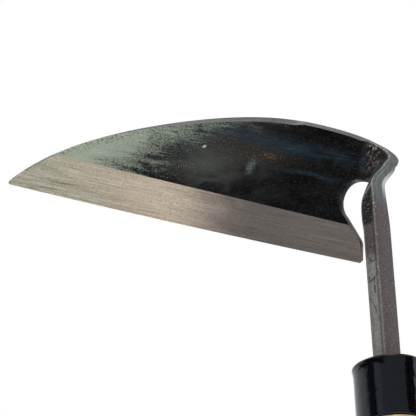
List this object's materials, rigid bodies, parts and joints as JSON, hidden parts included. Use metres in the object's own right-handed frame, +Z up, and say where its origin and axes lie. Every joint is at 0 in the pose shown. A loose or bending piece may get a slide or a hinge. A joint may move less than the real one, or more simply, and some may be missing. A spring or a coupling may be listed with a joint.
{
  "type": "hand sickle",
  "caption": "Hand sickle with a single-bevel leaf-shaped blade on a joggled bar neck, a glossy oval ferrule and an oval wooden handle.",
  "frame": {"origin": "centre of the flat butt face of the handle", "axes": "+Z up along the handle towards the ferrule; the blade points to -X; its bevelled face looks to -Y"},
  "size_m": [0.2006, 0.0399, 0.4722],
  "materials": {
    "forged_iron": "black forge scale, oily, with a ground bevel",
    "ground_steel": "satin, ground along the edge",
    "ferrule_gloss": "glossy black",
    "handle_wood": "pale plain wood, worn smooth",
    "key_wood": "pale plain wood, end sawn",
    "pin_steel": "plain drawn steel"
  },
  "bodies": {
    "root": {"blade_forging": "forged_iron", "edge_steel": "ground_steel", "ferrule": "ferrule_gloss", "handle": "handle_wood", "slot_key": "key_wood", "tang_wedge": "key_wood", "cross_pin": "pin_steel", "ferrule_tack": "pin_steel"}
  },
  "joints": []
}
